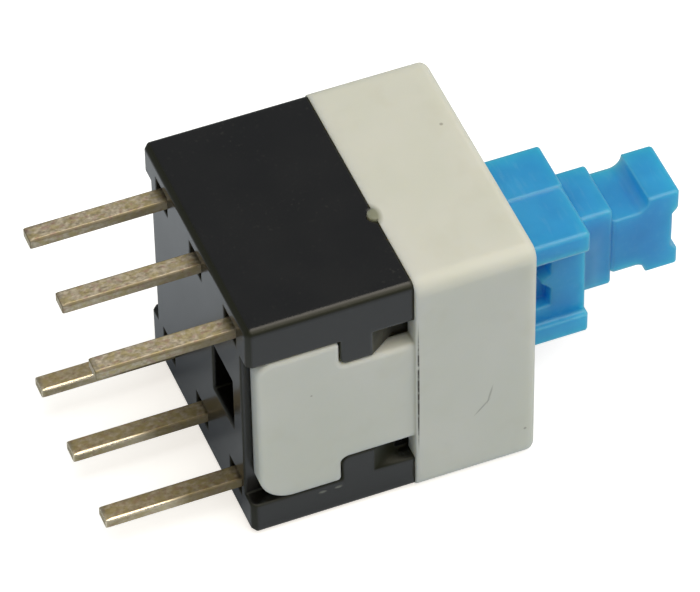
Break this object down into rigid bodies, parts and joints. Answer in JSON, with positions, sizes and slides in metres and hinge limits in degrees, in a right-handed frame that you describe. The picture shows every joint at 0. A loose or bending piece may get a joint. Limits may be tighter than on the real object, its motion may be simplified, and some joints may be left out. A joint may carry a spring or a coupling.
{
  "type": "latching pushbutton switch",
  "caption": "Small board-mounted latching pushbutton switch: black base with flat pins, ivory clip-over collar, blue stepped plunger",
  "frame": {"origin": "middle of the field of six pins on the seating plane that meets the circuit board", "axes": "+X along the plunger, outwards from the board; +Y along a row of pins, away from the picture's near tongue; +Z across the rows, upwards as the switch lies on its side"},
  "size_m": [0.0174, 0.008, 0.008],
  "materials": {
    "base": "satin moulded black thermoplastic",
    "collar": "satin moulded ivory white thermoplastic",
    "plunger": "satin moulded blue acetal",
    "terminal": "stamped brass, tin plated",
    "contact": "stamped and folded phosphor bronze",
    "spring_steel": "bright spring wire and strip"
  },
  "bodies": {
    "case": {"base_housing": "base", "cover_frame": "collar", "return_spring": "spring_steel", "latch_leaf_spring": "spring_steel", "terminal_upper_back": "terminal", "terminal_upper_middle": "terminal", "terminal_upper_front": "terminal", "terminal_lower_back": "terminal", "terminal_lower_middle": "terminal", "terminal_lower_front": "terminal"},
    "plunger": {"plunger": "plunger", "contact_clip_upper": "contact", "contact_clip_lower": "contact"},
    "latch": {"latch_pin": "spring_steel"}
  },
  "joints": [
    {"name": "plunger_slide", "type": "slide", "parent": "case", "child": "plunger", "axis": [-1, 0, 0], "range_m": [0, 0.0023], "stiffness_N_per_m": 450, "springref_m": -0.0001, "deforming": ["return_spring"]},
    {"name": "latch_pin_swing", "type": "hinge", "parent": "case", "child": "latch", "pos_m": [0.0014, -0.002, 0], "axis": [0, -1, 0], "range_deg": [0, 6.5]}
  ],
  "couplings": [
    {"joint": "latch_pin_swing", "follows": "plunger_slide", "rad_per_m": 48.2}
  ]
}
